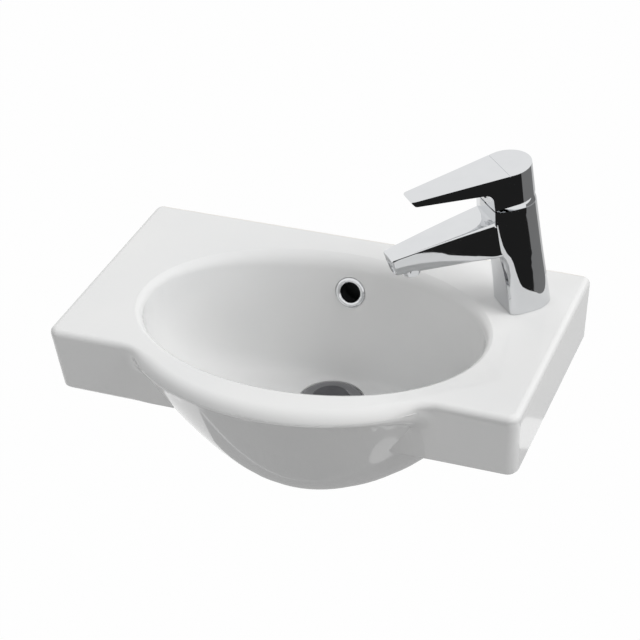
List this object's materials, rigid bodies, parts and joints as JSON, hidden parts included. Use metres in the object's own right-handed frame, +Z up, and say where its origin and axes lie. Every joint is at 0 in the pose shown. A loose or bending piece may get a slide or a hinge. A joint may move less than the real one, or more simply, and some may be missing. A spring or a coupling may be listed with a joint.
{
  "type": "wall-hung washbasin with mixer tap",
  "caption": "Small wall-hung washbasin with a rounded bowl, a single-lever mixer turned towards the bowl, an overflow and a push-button waste.",
  "frame": {"origin": "midway between the two wall fixing holes, in the plane of the wall", "axes": "+Y into the wall, +X to the right of a person at the basin, +Z up"},
  "size_m": [0.4492, 0.296, 0.3591],
  "materials": {
    "ceramic": "glossy white glaze",
    "chrome": "polished",
    "rubber": "matte",
    "brass": "machined",
    "plastic": "moulded",
    "disc": "lapped",
    "steel": "machined"
  },
  "bodies": {
    "fixture": {"basin": "ceramic", "overflow_ring": "chrome", "waste_body": "chrome", "flange_seal": "rubber", "click_holder": "plastic", "click_spring": "steel", "waste_washer": "rubber", "slip_washer": "plastic", "waste_nut": "brass", "tap_body": "chrome", "base_seal": "rubber", "dome_cover": "chrome", "cartridge_nut": "brass", "cartridge_housing": "plastic", "cartridge_foot": "plastic", "port_seals": "rubber", "fixed_disc": "disc", "nozzle": "chrome", "nozzle_washer": "rubber", "flow_insert": "plastic", "fixing_stud": "steel", "horseshoe_seal": "rubber", "horseshoe_washer": "steel", "stud_nut": "brass"},
    "plug": {"waste_plug": "chrome", "plug_seal": "rubber", "plug_stem": "brass"},
    "turret": {"turret": "plastic", "turret_pin": "steel"},
    "lever": {"lever": "chrome", "spindle": "brass", "lever_screw": "steel", "screw_plug": "rubber"},
    "disc": {"moving_disc": "disc"}
  },
  "joints": [
    {"name": "lever_swivel", "type": "hinge", "parent": "fixture", "child": "turret", "pos_m": [0.16537, -0.06698, 0.14919], "axis": [-0.0891, -0.0831, 0.9925], "range_deg": [-45, 45]},
    {"name": "lever_lift", "type": "hinge", "parent": "turret", "child": "lever", "pos_m": [0.16537, -0.06698, 0.14919], "axis": [-0.682, 0.7314, 0], "range_deg": [0, 20]},
    {"name": "disc_slide", "type": "slide", "parent": "turret", "child": "disc", "axis": [-0.7259, -0.6769, -0.1219], "range_m": [0, 0.0039]},
    {"name": "plug_push", "type": "slide", "parent": "fixture", "child": "plug", "axis": [0, 0, 1], "range_m": [-0.006, 0], "stiffness_N_per_m": 300, "springref_m": 0.005, "deforming": ["click_spring"]}
  ],
  "couplings": [
    {"joint": "disc_slide", "follows": "lever_lift", "m_per_rad": 0.01105}
  ]
}
